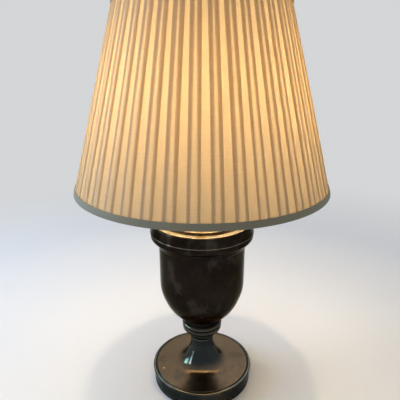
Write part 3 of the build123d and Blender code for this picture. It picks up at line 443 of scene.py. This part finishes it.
def patina_material():
    nodes = material_nodes("patina")
    axis = nodes.axes()
    reach = nodes.reach(axis)
    cloud = nodes.noise(nodes.place(), 16.0, 4.0, 0.55)
    speck = nodes.noise(nodes.place(), 420.0, 3.0, 0.6)
    smudge = nodes.noise(nodes.scaled(1.0, 1.0, 0.7), 34.0, 5.0, 0.62)
    scratch = nodes.noise(nodes.scaled(1.0, 1.0, 9.0), 90.0, 3.0, 0.6)
    dark, on_disc = patina_zones(nodes, axis, reach, cloud)
    handled = nodes.mix(nodes.spread(smudge, 0.52, 0.66, 0.0, 0.42), dark, SMUDGE_TONE)
    flecked = nodes.mix(nodes.spread(speck, 0.66, 0.74, 0.0, 0.4), handled, FLECK_TONE)
    # the painted edge highlights and wear, broken up by scratches
    uneven_wear_and_highlight = nodes.spread(scratch, 0.3, 0.6, 0.6, 1.0)
    tone = nodes.mix(nodes.math("MULTIPLY", wear_and_highlight_edges(nodes, axis, reach), uneven_wear_and_highlight), flecked, WEAR_AND_HIGHLIGHT_TONE)
    height = nodes.math("ADD", cloud, nodes.math("MULTIPLY", speck, 0.05))
    # each dent is pressed in and painted lighter; on the bowl the lighter spots are painted glints
    for spot in DENTS_WITH_GLINTS:
        mark = nodes.spread(nodes.away(axis, spot), 0.0, DENT_RADIUS, 1.0, 0.0, smooth=True)
        height = nodes.math("SUBTRACT", height, nodes.math("MULTIPLY", mark, DENT_DEPTH))
        tone = nodes.mix(nodes.math("MULTIPLY", mark, DENT_GLINT_SHARE), tone, DENT_AND_GLINT_TONE)
    polish = nodes.spread(nodes.math("ADD", cloud, scratch), 0.7, 1.3, 0.10, 0.18)
    rough = nodes.math("ADD", polish, nodes.math("MULTIPLY", on_disc, 0.07))
    relief = nodes.bump(height, 0.25, 0.0012)
    near_collar = nodes.band(axis["Z"], CREVICE_Z, CREVICE_HALF)
    crevice = nodes.math("MULTIPLY", near_collar, nodes.spread(reach, CREVICE_FROM, CREVICE_TO))
    return nodes.surface(nodes.principled(
        Base_Color=nodes.mix(crevice, tone, GRIME_TONE), Metallic=nodes.spread(crevice, 0.0, 1.0, 1.0, 0.35),
        Roughness=rough, Specular_Tint=PATINA_EDGE_TINT, Normal=relief,
    ))


# Metals and plastics
CAP_TONES = (0.42, 0.32, 0.20), (0.24, 0.17, 0.10)
# painted highlight along the cap's riser edge
EDGE_HIGHLIGHT_TONE = (0.85, 0.72, 0.52)
CAP_EDGE_REACH, CAP_EDGE_HALF = 0.0652, 0.0016
CAP_EDGE_FROM, CAP_EDGE_TO = CAP_LOW_Z + 0.0055, CAP_LOW_Z + 0.0070


def riser_edge_highlight(nodes):
    """the cap's riser, painted bright along its edge as a highlight"""
    axis = nodes.axes()
    near = nodes.band(nodes.reach(axis), CAP_EDGE_REACH, CAP_EDGE_HALF)
    return nodes.math("MULTIPLY", near, nodes.spread(axis["Z"], CAP_EDGE_FROM, CAP_EDGE_TO))


def metal_material(name, light, dark, low_rough, high_rough, grain=180.0, metallic=1.0, bright_edge=None):
    """blotched metal with fine brush marks, where an optional mask gives what is painted bright as a
    highlight
    """
    nodes = material_nodes(name)
    blotch = nodes.noise(nodes.place(), 40.0, 4.0, 0.6)
    fine = nodes.noise(nodes.scaled(1.0, 1.0, 6.0), grain, 3.0, 0.6)
    tone = nodes.mix(nodes.spread(blotch, 0.35, 0.68), light, dark)
    if bright_edge:
        tone = nodes.mix(bright_edge(nodes), tone, EDGE_HIGHLIGHT_TONE)
    rough = nodes.spread(fine, 0.3, 0.7, low_rough, high_rough)
    relief = nodes.bump(fine, 0.12, 0.0003)
    return nodes.surface(
        nodes.principled(Base_Color=tone, Metallic=metallic, Roughness=rough, Normal=relief)
    )


def plain_material(name, light, dark, low_rough, high_rough, grain=300.0, relief=0.2):
    nodes = material_nodes(name)
    fine = nodes.noise(nodes.place(), grain, 3.0, 0.6)
    tone = nodes.mix(nodes.spread(fine, 0.3, 0.7), light, dark)
    rough = nodes.spread(fine, 0.3, 0.7, low_rough, high_rough)
    bumps = nodes.bump(fine, relief, 0.0004)
    return nodes.surface(nodes.principled(Base_Color=tone, Roughness=rough, Normal=bumps))


def bulb_material():
    """frosted glass that glows more towards the middle of its globe"""
    nodes = material_nodes("bulb_glass")
    axis = nodes.axes()
    frost = nodes.noise(nodes.place(), 500.0)
    rough = nodes.spread(frost, 0.3, 0.7, 0.3, 0.4)
    heat = nodes.spread(axis["Z"], low_z("bulb_glass"), GLOBE_Z, 0.2, 0.8)
    glass = nodes.principled(
        Base_Color=(0.95, 0.92, 0.86), Roughness=rough,
        Emission_Color=(1.0, 0.80, 0.48), Emission_Strength=heat,
    )
    return nodes.surface(nodes.shadow_share(glass, (1.0, 1.0, 1.0)))


MATERIALS = {
    "patina": patina_material(),
    "cap_metal": metal_material("cap_metal", *CAP_TONES, 0.22, 0.36, bright_edge=riser_edge_highlight),
    "lamp_brass": metal_material("lamp_brass", (0.62, 0.46, 0.22), (0.45, 0.32, 0.15), 0.22, 0.38),
    "steel": metal_material("steel", (0.60, 0.60, 0.58), (0.45, 0.44, 0.42), 0.3, 0.5),
    "iron": metal_material("iron", (0.12, 0.12, 0.12), (0.07, 0.065, 0.06), 0.6, 0.85, 260.0, 0.7),
    "shell_aluminium": metal_material("shell_aluminium", (0.72, 0.72, 0.70), (0.60, 0.60, 0.58), 0.3, 0.45),
    "black_plastic": plain_material("black_plastic", (0.03, 0.03, 0.03), (0.05, 0.05, 0.048), 0.35, 0.5),
    "phenolic": plain_material("phenolic", (0.06, 0.04, 0.03), (0.10, 0.07, 0.05), 0.3, 0.45),
    "card": plain_material("card", (0.45, 0.36, 0.26), (0.36, 0.28, 0.20), 0.75, 0.9, 400.0, 0.4),
    "bulb_ceramic": plain_material("bulb_ceramic", (0.03, 0.03, 0.035), (0.06, 0.06, 0.06), 0.15, 0.25),
    "bulb_glass": bulb_material(),
    "liner": liner_material(),
    "shade_cloth": cloth_material(),
    "trim_cloth": trim_material(),
    "felt": plain_material("felt", (0.10, 0.14, 0.10), (0.16, 0.20, 0.15), 0.9, 1.0, 900.0, 0.9),
}
for row in frame["record"]["subparts"]:
    node = frame["nodes"][row["node"]]
    node.data.materials.clear()
    node.data.materials.append(MATERIALS[row["material_slot"]])


# Meshes made here
def add_object(name, data):
    thing = bpy.data.objects.new(name, data)
    bpy.context.collection.objects.link(thing)
    return thing


def new_piece(name, vertices, faces, body, slot):
    """a smooth mesh piece that rides on a body and takes a slot's material"""
    mesh = bpy.data.meshes.new(name)
    mesh.from_pydata(vertices, [], faces)
    mesh.materials.append(MATERIALS[slot])
    for face in mesh.polygons:
        face.use_smooth = True
    piece = add_object(name, mesh)
    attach(piece, body)
    return piece


def turned(name, profile, body, slot, segments=192):
    """a closed section of (radius, height) points turned about the lamp's axis"""
    count = len(profile)
    vertices = []
    for step in range(segments):
        angle = 2 * math.pi * step / segments
        vertices += [(r * math.cos(angle), r * math.sin(angle), z) for r, z in profile]
    faces = []
    for step in range(segments):
        here, there = step * count, ((step + 1) % segments) * count
        for k in range(count):
            after = (k + 1) % count
            faces.append((here + k, there + k, there + after, here + after))
    return new_piece(name, vertices, faces, body, slot)


# Pleated cover: one cloth, folded under itself at both sides of each box
def face_radius(z):
    return HEM_RADIUS - (z - SHADE_HEM_Z) * SHADE_SLOPE


def uneven(amount):
    return random.uniform(-amount, amount)


class Pleat:
    """what sets one box pleat apart from its neighbours"""

    def __init__(self):
        self.gap = uneven(PLEAT_JITTER)
        self.splits = {-1: uneven(PLEAT_JITTER), 1: uneven(PLEAT_JITTER)}
        self.lean = uneven(LEAN_JITTER)
        self.puff = random.uniform(PUFF_LEAST, PUFF_MOST)


def half_pleat(low, middle, high, puff):
    """the folded line from the gap's middle to the pleat's middle, as (fold, inset, radius)"""
    turn = (middle - low) / 2
    return [
        ("gap", 0.0, low), ("gap", 0.5, low), ("edge", 0.0, low),
        ("split", -PLY_REACH, low), ("split", -turn, low), ("split", 0.0, low + turn),
        ("split", -turn, middle), ("edge", PLY_REACH, middle), ("edge", turn, middle),
        ("edge", 0.0, middle + turn), ("edge", turn, high), ("edge", CROWN_INSET, high + puff * 0.5),
        ("middle", 0.5, high + puff),
    ]


def pleat_ring(z, pleats, share):
    """the folded cloth's line at a height, as points round the shade"""
    face = face_radius(z)
    gap = GAP_HEM + (GAP_TOP - GAP_HEM) * share
    split = SPLIT_HEM + (SPLIT_TOP - SPLIT_HEM) * share
    low = face - 2 * PLY_STEP - CLOTH / 2
    pitch = 2 * math.pi / PLEATS
    first = math.pi / 2 + PLEAT_TURN * pitch
    free = math.sin(math.pi * share)
    calm = 1.0 - JITTER_LOST_AT_TOP * share
    ring = []
    for index, pleat in enumerate(pleats):
        centre = first + (index + 0.5) * pitch + pleat.lean * free / face
        half_edge = pitch / 2 - (gap + pleat.gap) / face / 2
        for side in (-1, 1):
            border = first + (index + 0.5 + side / 2) * pitch - centre
            half_split = (split / 2 + pleat.splits[side] * calm) / face
            places = {"edge": half_edge, "split": half_split}
            line = []
            for fold, inset, radius in half_pleat(low, low + PLY_STEP, low + 2 * PLY_STEP, pleat.puff * free):
                if fold == "gap":
                    angle = border + (side * half_edge - border) * inset
                elif fold == "middle":
                    angle = side * half_split * inset
                else:
                    angle = side * (places[fold] - inset / face)
                line.append((centre + angle, radius))
            ring.extend(line if side < 0 else line[:0:-1])
    return [(radius * math.cos(angle), radius * math.sin(angle), z) for angle, radius in ring]


def build_cover():
    pleats = [Pleat() for _ in range(PLEATS)]
    vertices = []
    for row in range(PLEAT_ROWS + 1):
        share = row / PLEAT_ROWS
        ring = pleat_ring(COVER_LOW_Z + (COVER_HIGH_Z - COVER_LOW_Z) * share, pleats, share)
        vertices.extend(ring)
    count = len(ring)
    faces = []
    for row in range(PLEAT_ROWS):
        low, high = row * count, (row + 1) * count
        for k in range(count):
            after = (k + 1) % count
            faces.append((low + k, low + after, high + after, high + k))
    return new_piece("shade_cover", vertices, faces, "shade", "shade_cloth")


cover = build_cover()
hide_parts("pleated_cover")


# Trumpet, fitted over the foot
def bezier(points, share):
    """a point on a cubic curve"""
    rest = 1 - share
    weights = (rest ** 3, 3 * rest ** 2 * share, 3 * rest * share ** 2, share ** 3)
    return tuple(sum(weight * point[k] for weight, point in zip(weights, points)) for k in (0, 1))


def past_bend(length):
    """a point on the line that leans through the flare's bend, below it"""
    return (
        FLARE_BEND[0] + length * math.sin(FLARE_LEAN),
        FLARE_BEND[1] - length * math.cos(FLARE_LEAN),
    )


def trumpet_section():
    """closed section of the flare, from the neck ring down to the disc and back up inside"""
    upper_flare = (
        (STEM_TOP_RADIUS, STEM_TOP_Z), (STEM_TOP_RADIUS + STEM_TOP_SPREAD, STEM_TOP_Z - STEM_TOP_DROP),
        past_bend(-BEND_ABOVE), FLARE_BEND,
    )
    lower_flare = (
        FLARE_BEND, past_bend(BEND_BELOW),
        (FLARE_REACH - FLARE_HANDLE, FLARE_Z + FLARE_HANDLE * DISC_FALL), (FLARE_REACH, FLARE_Z),
    )
    shares = [step / FLARE_STEPS for step in range(FLARE_STEPS + 1)]
    outside = [bezier(upper_flare, share) for share in shares[:-1]]
    outside += [bezier(lower_flare, share) for share in shares]
    inside = [
        (FLARE_REACH, FLARE_Z - SKIN), (UNDERSIDE_REACH, FLARE_Z - SKIN),
        (STEM_TOP_RADIUS - SKIN, FLARE_BEND[1]), (STEM_TOP_RADIUS - SKIN, STEM_TOP_Z),
    ]
    return (outside + inside)[::-1]


trumpet = turned("foot_trumpet", trumpet_section(), "base", "patina", TRUMPET_SEGMENTS)
trumpet.data.set_sharp_from_angle(angle=TRUMPET_CREASE)


# Bias bindings, wrapped over both edges
BINDING_OUTER = TRIM_GAP + TRIM_THICK
BINDING_INNER = -(2 * PLY_STEP + CLOTH + LINER_GAP + LINER_THICK + TRIM_GAP + TRIM_THICK)
BINDING_INSIDE_WIDTH = TRIM_WIDTH * 0.62
BINDING_CROWN = 0.0001


def binding(edge_z, inward):
    """closed section of the binding, rounded over the shade's edge"""

    def at(offset, rise):
        z = edge_z + inward * rise
        return (face_radius(z) + offset, z)

    return [
        at(BINDING_OUTER - BINDING_CROWN, TRIM_WIDTH - 0.0001), at(BINDING_OUTER, TRIM_WIDTH - 0.0005),
        at(BINDING_OUTER + BINDING_CROWN, TRIM_WIDTH * 0.6),
        at(BINDING_OUTER + BINDING_CROWN, TRIM_WIDTH * 0.3),
        at(BINDING_OUTER, 0.0007), at(BINDING_OUTER - 0.0003, 0.00015),
        at(BINDING_OUTER - 0.0009, 0.0), at(BINDING_INNER + 0.0006, 0.0),
        at(BINDING_INNER + BINDING_CROWN, 0.0003), at(BINDING_INNER, 0.0009),
        at(BINDING_INNER, BINDING_INSIDE_WIDTH), at(BINDING_INNER + TRIM_THICK * 0.8, BINDING_INSIDE_WIDTH),
        at(BINDING_INNER + TRIM_THICK, TRIM_THICK), at(TRIM_GAP, TRIM_THICK),
        at(TRIM_GAP, TRIM_WIDTH - 0.0001),
    ]


hem = turned("hem_binding", binding(SHADE_HEM_Z, 1), "shade", "trim_cloth")
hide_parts("bottom_trim")
brim = turned("top_binding", binding(SHADE_TOP_Z, -1), "shade", "trim_cloth")
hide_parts("top_trim")


# Pale room: the floor fades with distance into the world's own colour
def floor_material():
    nodes = material_nodes("floor_pale")
    grain = nodes.noise(nodes.place(), 120.0, 3.0)
    near = nodes.principled(Base_Color=nodes.mix(grain, *FLOOR_TONES), Roughness=0.85)
    far = nodes.add("ShaderNodeEmission")
    nodes.glow_of_room(far)
    fade = nodes.spread(nodes.reach(nodes.axes()), FADE_FROM, FADE_TO, smooth=True)
    return nodes.surface(nodes.both(fade, near, far.outputs[0]))


def build_floor():
    """a round floor of rings"""
    vertices = [(0.0, 0.0, 0.0)]
    turns = [2 * math.pi * step / FLOOR_SIDES for step in range(FLOOR_SIDES)]
    for reach in FLOOR_RINGS:
        vertices += [(reach * math.cos(turn), reach * math.sin(turn), 0.0) for turn in turns]
    faces = []
    for step in range(FLOOR_SIDES):
        after = (step + 1) % FLOOR_SIDES
        faces.append((0, 1 + step, 1 + after))
        for ring in range(len(FLOOR_RINGS) - 1):
            low, high = 1 + ring * FLOOR_SIDES, 1 + (ring + 1) * FLOOR_SIDES
            faces.append((low + step, high + step, high + after, low + after))
    mesh = bpy.data.meshes.new("floor")
    mesh.from_pydata(vertices, [], faces)
    mesh.materials.append(floor_material())
    floor = add_object("floor", mesh)


def build_world():
    world = bpy.data.worlds.new("studio")
    nodes = Nodes(world, "ShaderNodeOutputWorld")
    back = nodes.add("ShaderNodeBackground")
    nodes.glow_of_room(back)
    bpy.context.scene.world = nodes.surface(back.outputs[0])


build_floor()
build_world()


# Lamps of the studio
def area_light(name, azimuth, elevation, distance, size, power, color, lights="all"):
    """a soft light that looks at the urn from an angle left of the front and a height, in degrees"""
    data = bpy.data.lights.new(name, "AREA")
    data.shape = "RECTANGLE"
    data.size, data.size_y = size
    data.energy = power
    data.color = color
    turn, rise = math.radians(azimuth), math.radians(elevation)
    away = Vector((-math.sin(turn) * math.cos(rise), -math.cos(turn) * math.cos(rise), math.sin(rise)))
    light = add_object(name, data)
    light.location = Vector((0, 0, LAMPS_AIM_Z)) + away * distance
    light.rotation_euler = (-away).to_track_quat("-Z", "Y").to_euler()
    light.visible_diffuse = lights != "mirrors"
    light.visible_transmission = lights != "mirrors"
    light.visible_glossy = lights != "surfaces"


# Daylight from a window at the left, and the two panes that the metal mirrors
area_light("window", 95, 22, 2.2, (1.8, 1.5), 42.0, (0.60, 0.75, 1.0), lights="surfaces")
area_light("pane_back", 98, 10, 2.0, (0.62, 0.72), 24.0, (0.34, 0.80, 0.86), lights="mirrors")
area_light("pane_front", 74, 11, 2.0, (0.36, 0.72), 14.0, (0.78, 0.90, 1.0), lights="mirrors")
area_light("overhead", 180, 80, 2.2, (1.6, 1.6), 11.0, (1.0, 1.0, 1.0))

bulb_data = bpy.data.lights.new("bulb_light", "POINT")
bulb_data.energy = BULB_WATTS
bulb_data.color = BULB_GLOW
bulb_data.shadow_soft_size = GLOBE_RADIUS * FILAMENT_SHARE
add_object("bulb_light", bulb_data).location = (0, 0, GLOBE_Z - FILAMENT_DROP)

camera_data = bpy.data.cameras.new("camera")
camera_data.sensor_width = SENSOR_MM
camera_data.lens = SENSOR_MM * FOCAL_PX / IMAGE_WIDTH
camera_data.shift_x = -AXIS_SHIFT_PX / IMAGE_WIDTH
camera = add_object("camera", camera_data)
camera.location = CAMERA_PLACE
camera.rotation_euler = (math.pi / 2 - CAMERA_PITCH, 0, 0)
bpy.context.scene.camera = camera
bpy.context.scene.view_settings.view_transform = "Standard"
